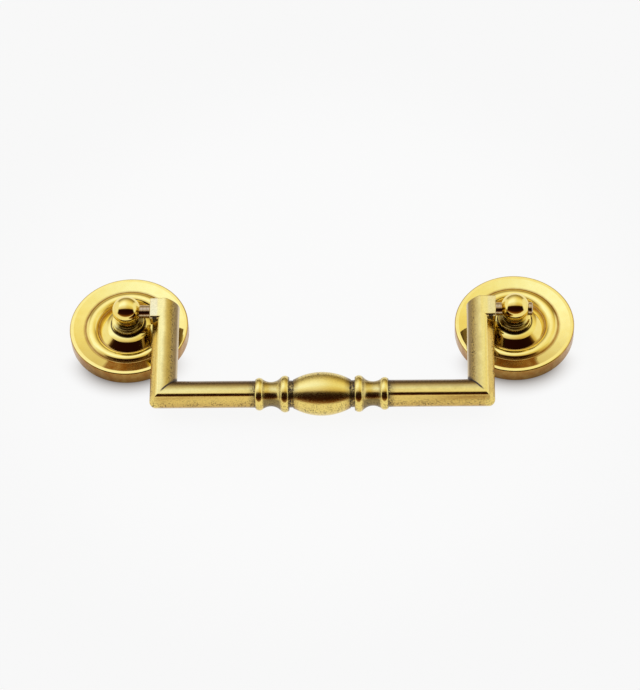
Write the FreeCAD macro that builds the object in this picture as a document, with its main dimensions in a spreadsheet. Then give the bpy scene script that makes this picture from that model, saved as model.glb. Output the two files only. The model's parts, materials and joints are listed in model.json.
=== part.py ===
import FreeCAD, Part
import math
import os
import re
import Sketcher

# Bail pull for a drawer, lying on its back: millimetres, +Z out of the drawer front, +X along the bar.
# The origin is on the mounting plane, midway between the two posts, and the bail hangs towards -Y.

DRIVING_SIZES = [
    ("hole_spacing", 96.0),
    ("screw_hole_radius", 1.65),
    ("screw_hole_depth", 5.2),
    ("drill_point_depth", 0.9),
    ("rosette_radius", 14.8),
    ("rim_height", 3.7),
    ("rim_edge_radius", 0.4),
    ("rim_land_width", 0.6),
    ("back_land_width", 1.8),
    ("back_boss_radius", 6.0),
    ("back_recess_depth", 1.0),
    ("band_inner_radius", 11.0),
    ("band_fall", 0.6),
    ("ring_rise", 0.75),
    ("ring_outer_width", 1.7),
    ("ring_inner_width", 1.6),
    ("groove_fall", 1.15),
    ("dome_radius", 25.0),
    ("seat_rise", 1.0),
    ("seat_margin", 0.2),
    ("spigot_radius", 3.0),
    ("spigot_clearance", 0.05),
    ("collar_radius", 4.0),
    ("collar_height", 1.3),
    ("collar_edge_radius", 0.25),
    ("neck_radius", 2.3),
    ("neck_cove_radius", 0.7),
    ("ball_radius", 3.55),
    ("ball_height", 10.1),
    ("pivot_height", 9.5),
    ("pin_radius", 1.6),
    ("pin_running_clearance", 0.06),
    ("pin_grip_clearance", 0.02),
    ("pin_proud", 0.2),
    ("pin_chamfer", 0.25),
    ("pin_hole_depth", 3.8),
    ("side_gap", 1.85),
    ("bar_radius", 3.3),
    ("ridge_angle", 27.0),
    ("upper_flat_turn", 8.0),
    ("outer_flat_turn", 60.0),
    ("ridge_radius", 0.9),
    ("bail_drop", 22.7),
    ("arm_end", 2.3),
    ("end_slant", 1.1),
    ("lug_front", 2.9),
    ("lug_round", 2.0),
    ("lug_proud", 0.55),
    ("end_edge_radius", 0.3),
    ("rest_gap", 0.2),
    ("bail_side_shift", 0.6),
    ("bead_half_length", 7.0),
    ("bead_middle_radius", 5.35),
    ("bead_end_radius", 3.5),
    ("quirk_width", 1.0),
    ("quirk_radius", 3.3),
    ("inner_collar_width", 2.0),
    ("inner_collar_radius", 4.5),
    ("neck_length", 4.3),
    ("baluster_neck_radius", 3.0),
    ("outer_collar_width", 1.9),
    ("outer_collar_radius", 4.0),
    ("collar_crown", 0.45),
    ("turned_core_radius", 2.5),
]

SIDES = (("left", -1), ("right", 1))
NEAR = 1e-4
LEAST_CUT = 1e-6

doc = FreeCAD.newDocument("BailPull")
sheet = doc.addObject("Spreadsheet::Sheet", "Sizes")
for row, (alias, size) in enumerate(DRIVING_SIZES, start=1):
    sheet.set(f"A{row}", alias)
    sheet.set(f"B{row}", str(size))
    sheet.setAlias(f"B{row}", alias)
doc.recompute()
SHEET_NAMES = re.compile(r"\b(" + "|".join(alias for alias, size in DRIVING_SIZES) + r")\b")


def sized(text):
    """Expression in which every name of the sheet is read from the sheet."""
    return SHEET_NAMES.sub(r"Sizes.\1", text)


def number(text):
    """Value of an expression in the sheet's names."""
    return float(sheet.evalExpression(sized(text)))


def new_body(label):
    """Empty body for one piece."""
    body = doc.addObject("PartDesign::Body", label)
    body.Label = label
    return body


def new_sketch(body, name, role, offset=None):
    """Sketch on one of the body's own origin planes, moved off it by expressions for x, y and z."""
    sketch = body.newObject("Sketcher::SketchObject", name)
    plane = next(item for item in body.Origin.OriginFeatures if item.Role == role)
    sketch.AttachmentSupport = [(plane, "")]
    sketch.MapMode = "FlatFace"
    for axis, text in (offset or {}).items():
        sketch.setExpression(f"AttachmentOffset.Base.{axis}", sized(text))
    return sketch


def pin_point(sketch, geometry, end, across, up):
    """Holds one end of a piece of sketch geometry at a place given by two expressions."""
    for kind, line, text in (("DistanceX", -2, across), ("DistanceY", -1, up)):
        if text == "0":
            sketch.addConstraint(Sketcher.Constraint("PointOnObject", geometry, end, line))
        else:
            place = Sketcher.Constraint(kind, -1, 1, geometry, end, number(text))
            index = sketch.addConstraint(place)
            sketch.setExpression(f"Constraints[{index}]", sized(text))


def arc_centre(start, end, bend):
    """Centre of the arc between two points, from its signed radius or the axis that carries its centre."""
    (x0, y0), (x1, y1) = start, end
    if bend == "on V axis":
        return 0.0, (x1 ** 2 - x0 ** 2 + y1 ** 2 - y0 ** 2) / (2 * (y1 - y0))
    if bend == "on H axis":
        return (x1 ** 2 - x0 ** 2 + y1 ** 2 - y0 ** 2) / (2 * (x1 - x0)), 0.0
    side, radius = bend
    chord = math.hypot(x1 - x0, y1 - y0)
    rise = math.sqrt(number(radius) ** 2 - (chord / 2) ** 2) * side
    return (x0 + x1) / 2 - (y1 - y0) / chord * rise, (y0 + y1) / 2 + (x1 - x0) / chord * rise


def outline(sketch, corners):
    """Closed outline through corners, with the solid on its left.

    A corner is (across, up) with a straight edge after it, or (across, up, bend) with an arc after it.
    A bend is (1, radius) for a hump, (-1, radius) for a hollow, or the axis that holds a hump's centre.
    """
    places = [(number(corner[0]), number(corner[1])) for corner in corners]
    ends = []
    for index, corner in enumerate(corners):
        start = places[index]
        end = places[(index + 1) % len(places)]
        if len(corner) == 2:
            line = Part.LineSegment(FreeCAD.Vector(*start, 0), FreeCAD.Vector(*end, 0))
            ends.append((sketch.addGeometry(line), 1, 2))
            continue
        bend = corner[2]
        hollow = bend[0] == -1
        centre = arc_centre(start, end, bend)
        first, last = (end, start) if hollow else (start, end)
        circle = Part.Circle(FreeCAD.Vector(*centre, 0), FreeCAD.Vector(0, 0, 1), math.dist(centre, start))
        turn = [math.atan2(y - centre[1], x - centre[0]) for x, y in (first, last)]
        geometry = sketch.addGeometry(Part.ArcOfCircle(circle, turn[0], turn[1]))
        ends.append((geometry, 2, 1) if hollow else (geometry, 1, 2))
        if bend in ("on V axis", "on H axis"):
            axis = -2 if bend == "on V axis" else -1
            sketch.addConstraint(Sketcher.Constraint("PointOnObject", geometry, 3, axis))
        else:
            radius = sketch.addConstraint(Sketcher.Constraint("Radius", geometry, number(bend[1])))
            sketch.setExpression(f"Constraints[{radius}]", sized(bend[1]))
    for index, corner in enumerate(corners):
        geometry, first, last = ends[index]
        before = ends[index - 1]
        sketch.addConstraint(Sketcher.Constraint("Coincident", before[0], before[2], geometry, first))
        pin_point(sketch, geometry, first, corner[0], corner[1])


def round_hole(sketch, radius):
    """Circle of a given radius round the sketch's origin."""
    circle = Part.Circle(FreeCAD.Vector(0, 0, 0), FreeCAD.Vector(0, 0, 1), number(radius))
    geometry = sketch.addGeometry(circle)
    sketch.addConstraint(Sketcher.Constraint("Coincident", geometry, 3, -1, 1))
    size = sketch.addConstraint(Sketcher.Constraint("Radius", geometry, number(radius)))
    sketch.setExpression(f"Constraints[{size}]", sized(radius))


def turned(body, name, sketch, axis="V_Axis", angle=360.0):
    """Solid of revolution of a sketch about one of its own axes."""
    feature = body.newObject("PartDesign::Revolution", name)
    feature.Profile = sketch
    feature.ReferenceAxis = (sketch, [axis])
    feature.Angle = angle
    sketch.Visibility = False
    return feature


def cut(body, name, sketch, length=None, reverse=False, both_ways=False):
    """Pocket of a sketch, to a length or right through, that has to take some of the body away."""
    doc.recompute()
    volume = body.Shape.Volume
    feature = body.newObject("PartDesign::Pocket", name)
    feature.Profile = sketch
    feature.Reversed = reverse
    feature.Midplane = both_ways
    if length is None:
        feature.Type = "ThroughAll"
    else:
        feature.setExpression("Length", sized(length))
    doc.recompute()
    if body.Shape.Volume > volume - LEAST_CUT:
        raise RuntimeError(f"{name} cuts nothing")
    return feature


def rounded(body, name, radius, wanted):
    """Fillet of the body's edges that a test picks out."""
    doc.recompute()
    base = body.Tip
    names = [f"Edge{i}" for i, edge in enumerate(base.Shape.Edges, start=1) if wanted(edge)]
    feature = body.newObject("PartDesign::Fillet", name)
    feature.Base = (base, names)
    feature.setExpression("Radius", sized(radius))
    return feature


def place(body, across, height):
    """Puts a body at a distance along the bar and a height above the mounting plane."""
    body.setExpression("Placement.Base.x", sized(across))
    body.setExpression("Placement.Base.z", sized(height))


SEAT_HEIGHT = "(rim_height + seat_rise)"
COLLAR_TOP = f"({SEAT_HEIGHT} + collar_height)"
SPIGOT_HOLE = "spigot_radius + spigot_clearance"
RIM_TOP = "(rosette_radius - rim_edge_radius)"
RING_RADIUS = "(band_inner_radius - ring_outer_width)"
RING_FALL = "(ring_rise - band_fall + groove_fall)"
RING_OUTSIDE = "(ring_outer_width ^ 2 / (2 * ring_rise) + ring_rise / 2)"
RING_INSIDE = f"(ring_inner_width ^ 2 / (2 * {RING_FALL}) + {RING_FALL} / 2)"


def build_rosette(side, sign):
    """Stepped round backplate: dished rim band, raised ring, groove and the dome that the post stands on."""
    body = new_body(f"{side}_rosette")
    sketch = new_sketch(body, f"{side}_rosette_outline", "XZ_Plane")
    outline(sketch, [
        (SPIGOT_HOLE, "0"),
        ("back_boss_radius", "0"),
        ("back_boss_radius", "back_recess_depth"),
        ("rosette_radius - back_land_width", "back_recess_depth"),
        ("rosette_radius - back_land_width", "0"),
        ("rosette_radius", "0"),
        ("rosette_radius", "rim_height - rim_edge_radius", (1, "rim_edge_radius")),
        (RIM_TOP, "rim_height"),
        (f"{RIM_TOP} - rim_land_width", "rim_height"),
        ("band_inner_radius", "rim_height - band_fall", (1, RING_OUTSIDE)),
        (RING_RADIUS, "rim_height - band_fall + ring_rise", (1, RING_INSIDE)),
        (f"{RING_RADIUS} - ring_inner_width", "rim_height - groove_fall", (1, "dome_radius")),
        ("collar_radius + seat_margin", SEAT_HEIGHT),
        (SPIGOT_HOLE, SEAT_HEIGHT),
    ])
    turned(body, f"{side}_rosette_turned", sketch)
    place(body, f"{sign} * hole_spacing / 2", "0")
    return body


def build_post(side, sign):
    """Turned post: spigot with the screw hole, flat collar, short neck, ball bored across for the pin."""
    body = new_body(f"{side}_post")
    sketch = new_sketch(body, f"{side}_post_outline", "XZ_Plane")
    outline(sketch, [
        ("screw_hole_radius", "0"),
        ("spigot_radius", "0"),
        ("spigot_radius", SEAT_HEIGHT),
        ("collar_radius", SEAT_HEIGHT),
        ("collar_radius", f"{COLLAR_TOP} - collar_edge_radius", (1, "collar_edge_radius")),
        ("collar_radius - collar_edge_radius", COLLAR_TOP),
        ("neck_radius + neck_cove_radius", COLLAR_TOP, (-1, "neck_cove_radius")),
        ("neck_radius", f"{COLLAR_TOP} + neck_cove_radius"),
        ("neck_radius", "ball_height - sqrt(ball_radius ^ 2 - neck_radius ^ 2)", "on V axis"),
        ("0", "ball_height + ball_radius"),
        ("0", "screw_hole_depth + drill_point_depth"),
        ("screw_hole_radius", "screw_hole_depth"),
    ])
    turned(body, f"{side}_post_turned", sketch)
    bore = new_sketch(body, f"{side}_post_bore_outline", "YZ_Plane", {"y": "pivot_height"})
    round_hole(bore, "pin_radius + pin_running_clearance")
    cut(body, f"{side}_post_bore", bore, both_ways=True)
    place(body, f"{sign} * hole_spacing / 2", "0")
    return body


LUG_FACE = "(hole_spacing / 2 - ball_radius - side_gap)"
ARM_REACH = f"({LUG_FACE} - lug_proud - bar_radius)"
PIN_LENGTH = f"(pin_hole_depth + hole_spacing / 2 + ball_radius + pin_proud - {LUG_FACE})"


def build_pin(side, sign):
    """Straight pivot pin with a small chamfer at each end, seated in the bail's lug."""
    body = new_body(f"{side}_pivot_pin")
    sketch = new_sketch(body, f"{side}_pivot_pin_outline", "YZ_Plane")
    round_hole(sketch, "pin_radius")
    pad = body.newObject("PartDesign::Pad", f"{side}_pivot_pin_length")
    pad.Profile = sketch
    pad.Reversed = sign < 0
    pad.setExpression("Length", sized(PIN_LENGTH))
    doc.recompute()
    ends = [f"Edge{i}" for i, edge in enumerate(pad.Shape.Edges, start=1) if edge.isClosed()]
    chamfer = body.newObject("PartDesign::Chamfer", f"{side}_pivot_pin_ends")
    chamfer.Base = (pad, ends)
    chamfer.setExpression("Size", sized("pin_chamfer"))
    place(body, f"bail_side_shift + {sign} * ({LUG_FACE} - pin_hole_depth)", "pivot_height")
    return body


CREST = "(bar_radius / cos((ridge_angle - upper_flat_turn) * 1 deg))"
RIDGE_TURN = "((upper_flat_turn + outer_flat_turn) / 2 * 1 deg)"
RIDGE_BACK = "(ridge_radius / cos((outer_flat_turn - upper_flat_turn) / 2 * 1 deg))"
RIDGE_OUT = f"({CREST} * sin(ridge_angle * 1 deg) - {RIDGE_BACK} * sin({RIDGE_TURN}))"
RIDGE_UP = f"({CREST} * cos(ridge_angle * 1 deg) - {RIDGE_BACK} * cos({RIDGE_TURN}))"
LUG_TOP = f"({RIDGE_UP} + ridge_radius * cos(upper_flat_turn * 1 deg))"
FLAT_DEPTH = f"({CREST} * cos((outer_flat_turn - ridge_angle) * 1 deg))"
FLAT_END = f"(outer_flat_turn * 1 deg + acos({FLAT_DEPTH} / bar_radius))"


def draw_bar_section(sketch):
    """Round section of the bail with a soft ridge: an upper and an outer flat that meet in a small arc."""
    middle = number(f"-{ARM_REACH}")
    large, small = number("bar_radius"), number("ridge_radius")
    upper_turn, outer_turn = math.radians(number("upper_flat_turn")), math.radians(number("outer_flat_turn"))
    flat_end = outer_turn + math.acos(number(FLAT_DEPTH) / large)
    crest = (middle - number(RIDGE_OUT), number(RIDGE_UP))

    def on_round(centre, radius, angle):
        return FreeCAD.Vector(centre[0] - radius * math.sin(angle), centre[1] + radius * math.cos(angle), 0)

    arcs = []
    for centre, radius, start, stop in (
        ((middle, 0.0), large, flat_end, upper_turn + 2 * math.pi),
        (crest, small, upper_turn, outer_turn),
    ):
        circle = Part.Circle(FreeCAD.Vector(*centre, 0), FreeCAD.Vector(0, 0, 1), radius)
        quarter = math.pi / 2
        arcs.append(sketch.addGeometry(Part.ArcOfCircle(circle, start + quarter, stop + quarter)))
    around, ridge = arcs
    upper = sketch.addGeometry(Part.LineSegment(
        on_round((middle, 0.0), large, upper_turn), on_round(crest, small, upper_turn)))
    outer = sketch.addGeometry(Part.LineSegment(
        on_round(crest, small, outer_turn), on_round((middle, 0.0), large, flat_end)))
    for constraint in (
        Sketcher.Constraint("Tangent", around, 2, upper, 1),
        Sketcher.Constraint("Tangent", upper, 2, ridge, 1),
        Sketcher.Constraint("Tangent", ridge, 2, outer, 1),
        Sketcher.Constraint("Coincident", outer, 2, around, 1),
    ):
        sketch.addConstraint(constraint)
    pin_point(sketch, around, 3, f"-{ARM_REACH}", "0")
    for kind, first, text in (
        ("Radius", (around,), "bar_radius"),
        ("Radius", (ridge,), "ridge_radius"),
        ("DistanceX", (-1, 1, ridge, 3), f"-{ARM_REACH} - {RIDGE_OUT}"),
        ("DistanceY", (-1, 1, ridge, 3), RIDGE_UP),
        ("DistanceY", (-1, 1, outer, 2), f"bar_radius * cos({FLAT_END})"),
    ):
        index = sketch.addConstraint(Sketcher.Constraint(kind, *first, number(text)))
        sketch.setExpression(f"Constraints[{index}]", sized(text))


CAP_INSIDE = f"({RIDGE_OUT} + ridge_radius * sin(outer_flat_turn * 1 deg))"


def round_corner(body, side, sign):
    """Rounds the outer corner of one mitre, as far in as the outer flat of the ridge.

    A square is cut away there, and the section's cap is turned round it.
    """
    square = new_sketch(body, f"{side}_corner_square", "XY_Plane")
    inner = f"{sign} * ({ARM_REACH} + {CAP_INSIDE})"
    outer = f"{sign} * ({ARM_REACH} + 2 * bar_radius)"
    near = f"-(bail_drop + {CAP_INSIDE})"
    far = "-(bail_drop + 2 * bar_radius)"
    corners = [(inner, far), (outer, far), (outer, near), (inner, near)]
    outline(square, corners if sign > 0 else corners[::-1])
    cut(body, f"{side}_corner_cut", square, both_ways=True)
    axis_offset = {"x": inner, "z": f"bail_drop + {CAP_INSIDE}"}
    cap = new_sketch(body, f"{side}_corner_cap", "XZ_Plane", axis_offset)
    reach = f"(bar_radius * sin({FLAT_END}) - {CAP_INSIDE})"
    height = f"(bar_radius * cos({FLAT_END}))"
    foot = f"-sqrt(bar_radius ^ 2 - {CAP_INSIDE} ^ 2)"
    crown = f"{height} + {reach} * tan(outer_flat_turn * 1 deg)"
    if sign > 0:
        outline(cap, [("0", foot, (1, "bar_radius")), (reach, height), ("0", crown)])
    else:
        outline(cap, [("0", crown), (f"-{reach}", height, (1, "bar_radius")), ("0", foot)])
    feature = turned(body, f"{side}_corner_turned", cap, angle=90.0)
    feature.Reversed = sign > 0
    return feature


def sweep_bar(body):
    """Sweeps the bar's section down one arm, along the bar and up the other arm, with mitred corners."""
    path = new_sketch(body, "bail_path", "XY_Plane")
    stops = [
        (f"-{ARM_REACH}", "arm_end"),
        (f"-{ARM_REACH}", "-bail_drop"),
        (ARM_REACH, "-bail_drop"),
        (ARM_REACH, "arm_end"),
    ]
    points = [FreeCAD.Vector(number(across), number(up), 0) for across, up in stops]
    for start, end in zip(points, points[1:]):
        path.addGeometry(Part.LineSegment(start, end))
    for index, (across, up) in enumerate(stops[:-1]):
        pin_point(path, index, 1, across, up)
        if index:
            path.addConstraint(Sketcher.Constraint("Coincident", index - 1, 2, index, 1))
    pin_point(path, len(stops) - 2, 2, *stops[-1])
    section = new_sketch(body, "bar_section", "XZ_Plane", {"z": "-arm_end"})
    draw_bar_section(section)
    doc.recompute()
    sweep = body.newObject("PartDesign::AdditivePipe", "bar_sweep")
    sweep.Profile = section
    sweep.Spine = (path, ["Edge1", "Edge2", "Edge3"])
    sweep.Transition = "Right corner"
    doc.recompute()


def turn_baluster(body):
    """Cuts the middle of the bar down to a core, and turns the bead, collars and necks round it."""
    reach = "(bead_half_length + quirk_width + inner_collar_width + neck_length)"
    end = f"({reach} + outer_collar_width)"
    bar_axis = {"y": "-bail_drop"}
    waist = new_sketch(body, "waist_outline", "XY_Plane", bar_axis)
    outline(waist, [
        (f"-{reach}", "turned_core_radius"),
        (reach, "turned_core_radius"),
        (reach, "outer_collar_radius"),
        (f"-{reach}", "outer_collar_radius"),
    ])
    doc.recompute()
    volume = body.Shape.Volume
    groove = body.newObject("PartDesign::Groove", "waist")
    groove.Profile = waist
    groove.ReferenceAxis = (waist, ["H_Axis"])
    doc.recompute()
    if body.Shape.Volume > volume - LEAST_CUT:
        raise RuntimeError("waist cuts nothing")

    quirk = "(bead_half_length + quirk_width)"
    collar = f"({quirk} + inner_collar_width)"
    inner_edge = "(inner_collar_radius - collar_crown)"
    outer_edge = "(outer_collar_radius - collar_crown)"
    inner_crown = "(collar_crown / 2 + inner_collar_width ^ 2 / (8 * collar_crown))"
    outer_crown = "(collar_crown / 2 + outer_collar_width ^ 2 / (8 * collar_crown))"
    bead_swell = "(bead_middle_radius - bead_end_radius)"
    bead_round = f"({bead_swell} / 2 + bead_half_length ^ 2 / (2 * {bead_swell}))"
    neck_sag = f"(({inner_edge} + {outer_edge}) / 2 - baluster_neck_radius)"
    neck_chord = f"(neck_length ^ 2 + ({inner_edge} - {outer_edge}) ^ 2)"
    neck_round = f"({neck_sag} / 2 + {neck_chord} / (8 * {neck_sag}))"
    half = [
        (end, "0"),
        (end, outer_edge, (1, outer_crown)),
        (reach, outer_edge, (-1, neck_round)),
        (collar, inner_edge, (1, inner_crown)),
        (quirk, inner_edge),
        (quirk, "quirk_radius"),
        ("bead_half_length", "quirk_radius"),
        ("bead_half_length", "bead_end_radius", (1, bead_round)),
    ]
    far_half = [
        ("-bead_half_length", "bead_end_radius"),
        ("-bead_half_length", "quirk_radius"),
        (f"-{quirk}", "quirk_radius"),
        (f"-{quirk}", inner_edge, (1, inner_crown)),
        (f"-{collar}", inner_edge, (-1, neck_round)),
        (f"-{reach}", outer_edge, (1, outer_crown)),
        (f"-{end}", outer_edge),
        (f"-{end}", "0"),
    ]
    baluster = new_sketch(body, "baluster_outline", "XY_Plane", bar_axis)
    outline(baluster, half + far_half)
    turned(body, "baluster", baluster, axis="H_Axis")
    doc.recompute()


def slant_ends(body):
    """Cuts each arm's end on a slant, from its middle back to its inner side."""
    for side, sign in SIDES:
        wedge = new_sketch(body, f"{side}_end_wedge", "XY_Plane")
        inner = f"{sign} * ({ARM_REACH} - bar_radius)"
        corners = [
            (inner, "arm_end - end_slant"),
            (f"{sign} * {ARM_REACH}", "arm_end"),
            (inner, "arm_end"),
        ]
        outline(wedge, corners if sign > 0 else corners[::-1])
        cut(body, f"{side}_end_slant", wedge, both_ways=True)


def add_lugs(body):
    """Puts a lug, round in front and underneath, outside each arm's end, and bores it for its pin."""
    for side, sign in SIDES:
        lug = new_sketch(body, f"{side}_lug_outline", "YZ_Plane", {"z": f"{sign} * {ARM_REACH}"})
        outline(lug, [
            ("-lug_front", "0", "on H axis"),
            ("arm_end", "0"),
            ("arm_end", LUG_TOP),
            ("lug_round - lug_front", LUG_TOP, (1, "lug_round")),
            ("-lug_front", f"{LUG_TOP} - lug_round"),
        ])
        pad = body.newObject("PartDesign::Pad", f"{side}_lug")
        pad.Profile = lug
        pad.Reversed = sign < 0
        pad.setExpression("Length", sized("bar_radius + lug_proud"))
        doc.recompute()

    face, end_plane, middle = number(LUG_FACE), number("arm_end"), number(ARM_REACH)
    slope = number("end_slant / bar_radius")
    rounded(body, "end_edges", "end_edge_radius", lambda edge: all(
        abs(abs(v.X) - face) < NEAR
        or abs(v.Y - end_plane + slope * max(middle - abs(v.X), 0)) < NEAR for v in edge.Vertexes))
    for side, sign in SIDES:
        bore = new_sketch(body, f"{side}_pin_hole_outline", "YZ_Plane", {"z": f"{sign} * {LUG_FACE}"})
        round_hole(bore, "pin_radius + pin_grip_clearance")
        cut(body, f"{side}_pin_hole", bore, length="pin_hole_depth", reverse=sign < 0)


def hang(body):
    """Hangs the bail on its pins, dipped until its bead nears the drawer front or its arms near the rims."""
    bead_dip = "asin((pivot_height - bead_middle_radius - rest_gap) / bail_drop)"
    crossing = f"sqrt(rosette_radius ^ 2 - (hole_spacing / 2 - {ARM_REACH}) ^ 2)"
    fall = "(pivot_height - rim_height - rest_gap)"
    rim_dip = f"atan({fall} / {crossing}) - asin(bar_radius / sqrt(({crossing}) ^ 2 + {fall} ^ 2))"
    dip = f"min({bead_dip}; {rim_dip})"
    turn = FreeCAD.Rotation(FreeCAD.Vector(1, 0, 0), number(dip))
    body.Placement = FreeCAD.Placement(FreeCAD.Vector(), turn)
    body.setExpression("Placement.Rotation.Angle", sized(dip))
    place(body, "bail_side_shift", "pivot_height")


def build_bail():
    """One casting: a swept bar with mitred corners, a turned baluster, and a lug at each arm's end."""
    body = new_body("bail")
    sweep_bar(body)
    for side, sign in SIDES:
        round_corner(body, side, sign)
    turn_baluster(body)
    slant_ends(body)
    add_lugs(body)
    hang(body)
    return body


pieces = []
for side, sign in SIDES:
    pieces.append(build_rosette(side, sign))
    pieces.append(build_post(side, sign))
    pieces.append(build_pin(side, sign))
pieces.append(build_bail())
doc.recompute()

for item in doc.Objects:
    if "Invalid" in item.State or "Error" in item.State:
        raise RuntimeError(f"{item.Name} failed: {item.State}")
for piece in pieces:
    if piece.Shape.isNull() or not piece.Shape.isValid() or len(piece.Shape.Solids) != 1:
        raise RuntimeError(f"{piece.Label} is not one valid solid")

os.makedirs("parts", exist_ok=True)
for piece in pieces:
    piece.Shape.exportStep(f"parts/{piece.Label}.step")
    print(piece.Label, round(piece.Shape.Volume, 1), piece.Shape.BoundBox)
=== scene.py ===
"""Looks of a bail pull: two turned rosettes with ball-headed posts, and a bail that swings on two pins."""

import json
import logging
import math
from collections.abc import Callable
from dataclasses import dataclass, field
from enum import Enum
from functools import partial

import bpy
from bpy.types import Material, Node, NodeSocket, NodeTree, Object
from mathutils import Matrix, Vector


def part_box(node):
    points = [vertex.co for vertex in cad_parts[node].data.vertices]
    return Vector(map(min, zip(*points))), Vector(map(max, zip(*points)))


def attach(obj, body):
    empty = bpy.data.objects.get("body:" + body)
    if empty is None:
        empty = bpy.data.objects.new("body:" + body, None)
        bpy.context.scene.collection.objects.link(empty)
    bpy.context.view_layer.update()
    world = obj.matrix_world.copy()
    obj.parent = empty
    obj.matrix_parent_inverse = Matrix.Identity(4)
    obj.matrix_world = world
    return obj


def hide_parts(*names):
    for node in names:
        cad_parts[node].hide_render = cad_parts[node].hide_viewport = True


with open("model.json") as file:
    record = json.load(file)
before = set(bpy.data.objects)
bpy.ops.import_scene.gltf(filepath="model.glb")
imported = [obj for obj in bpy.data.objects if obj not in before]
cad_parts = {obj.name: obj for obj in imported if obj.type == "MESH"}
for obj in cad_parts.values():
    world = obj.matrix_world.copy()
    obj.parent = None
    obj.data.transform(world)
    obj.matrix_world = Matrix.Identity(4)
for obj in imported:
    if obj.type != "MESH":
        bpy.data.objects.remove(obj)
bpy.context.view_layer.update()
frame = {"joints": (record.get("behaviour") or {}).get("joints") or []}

MM = 0.001
LOG = logging.getLogger("bail_pull")

# Millimetres: vertices closer than WELD become one, and a test of a place allows for NEAR.
WELD = 0.002
NEAR = 1e-3

UP, ACROSS = Vector((0, 0, 1)), Vector((1, 0, 0))
WHITE = "#FFFFFF"

Point = tuple[float, float]
Span = tuple[float, ...]
Adder = Callable[..., Node]
Link = Node | NodeSocket


class Side(Enum):
    """Which end of the pull a piece belongs to, as the sign of its place along the bar."""

    LEFT = -1
    RIGHT = 1


class Bend(Enum):
    """How an arc of a profile curves, seen with the solid on its left."""

    HUMP = 1
    HOLLOW = -1


def linear(colour: str) -> tuple[float, float, float, float]:
    """Turns an sRGB hex colour into linear light.

    Args:
        colour: the colour as "#RRGGBB".

    Returns:
        Linear red, green, blue and full alpha.
    """
    parts = [int(colour[i:i + 2], 16) / 255 for i in (1, 3, 5)]
    light = [c / 12.92 if c <= 0.04045 else ((c + 0.055) / 1.055) ** 2.4 for c in parts]
    return (light[0], light[1], light[2], 1.0)


def plug(tree: NodeTree, node: Node, links: dict | list) -> None:
    """Links or sets the inputs of a node.

    Args:
        tree: the node tree that holds it.
        node: the node.
        links: for each input, by name or in order, a node or socket to link, or a value to set.
    """
    for key, value in links.items() if isinstance(links, dict) else enumerate(links):
        if isinstance(value, Node):
            value = next(socket for socket in value.outputs if socket.enabled)
        if isinstance(value, NodeSocket):
            tree.links.new(value, node.inputs[key])
        else:
            node.inputs[key].default_value = value


def add_node(tree: NodeTree, kind: str, links: dict | list, stops: dict[float, str] | None = None,
             **settings: object) -> Node:
    """Adds a shader node with its settings, links and colour stops.

    Args:
        tree: the node tree that gets it.
        kind: the node's type name after ShaderNode, with its operation where it has one.
        links: what its inputs get, as for plug.
        stops: a colour ramp's colours by their places from 0 to 1, in order.
        settings: the node's own options.

    Returns:
        The new node.
    """
    kind, _, operation = kind.partition(" ")
    node = tree.nodes.new(f"ShaderNode{kind}")
    if operation:
        node.operation = operation
    for name, value in settings.items():
        setattr(node, name, value)
    plug(tree, node, links)
    if stops:
        ramp = node.color_ramp
        while len(ramp.elements) < len(stops):
            ramp.elements.new(1.0)
        for element, (place, colour) in zip(ramp.elements, stops.items()):
            element.position = place
            element.color = linear(colour)
    return node


def span(start: float, full: float, low: float = 0.0, high: float = 1.0) -> dict[str, float]:
    """Inputs of a range that goes from low to high while its value goes from start to full."""
    return {"From Min": start, "From Max": full, "To Min": low, "To Max": high}


def spot(add: Adder, value: Link, centre: float, reach: float, soft: float) -> Node:
    """Marks where a value is near a centre.

    Args:
        add: adds a node to the material.
        value: the value that is looked at.
        centre: where the mark is full.
        reach: how far from the centre it ends.
        soft: the width over which it fades before that end.

    Returns:
        The mark, from 0 to 1.
    """
    off = add("Math SUBTRACT", [value, centre])
    away = add("Math ABSOLUTE", [off])
    return add("MapRange", {"Value": away, **span(reach, reach - soft)}, interpolation_type="SMOOTHSTEP")


def layered(add: Adder, base: object, layers: list[tuple[Link, str]]) -> Node:
    """Lays colours over a base, each where its mark is.

    Args:
        add: adds a node to the material.
        base: the lowest colour, linear, or a node that gives it.
        layers: marks and their colours, from the lowest up.

    Returns:
        The colour that shows.
    """
    for mark, colour in layers:
        base = add("Mix", {"Factor": mark, "A": base, "B": linear(colour)}, data_type="RGBA")
    return base


def new_finish(name: str) -> tuple[Material, Adder]:
    """Makes a material, with a function that adds nodes to it."""
    finish = bpy.data.materials.new(name)
    finish.use_nodes = True
    return finish, partial(add_node, finish.node_tree)


def make_metal(finish: Material, links: dict) -> Material:
    """Makes a finish metal, gives its shader the links and values, and hands it back."""
    tree = finish.node_tree
    plug(tree, tree.nodes["Principled BSDF"], {"Metallic": 1.0, **links})
    return finish


class AboutPosts:
    """Nodes that give a place in millimetres about the axis of the nearer post."""

    def __init__(self, add: Adder, post_place: float) -> None:
        """Adds the nodes.

        Args:
            add: adds a node to the material.
            post_place: how far each post stands from the middle.
        """
        place = add("TexCoord", {})
        self.place = add("VectorMath SCALE", {0: place.outputs["Object"], "Scale": 1 / MM})
        x, self.y, self.z = add("SeparateXYZ", {0: self.place}).outputs
        beside = add("Math ABSOLUTE", [x])
        self.across = add("Math SUBTRACT", [beside, post_place])
        self.flat = add("CombineXYZ", {0: self.across, 1: self.y})
        self.radius = add("VectorMath LENGTH", [self.flat])
        self.facing = add("Math DIVIDE", [self.y, self.radius])


def between(start: float, end: float, steps: int) -> list[float]:
    """Values from start to end in even steps, both ends included."""
    return [start + (end - start) * i / steps for i in range(steps + 1)]


def radius_from_rise(chord: float, rise: float) -> float:
    """Radius of the arc that rises by a given height in the middle of its chord."""
    return rise / 2 + chord ** 2 / (8 * rise)


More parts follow.
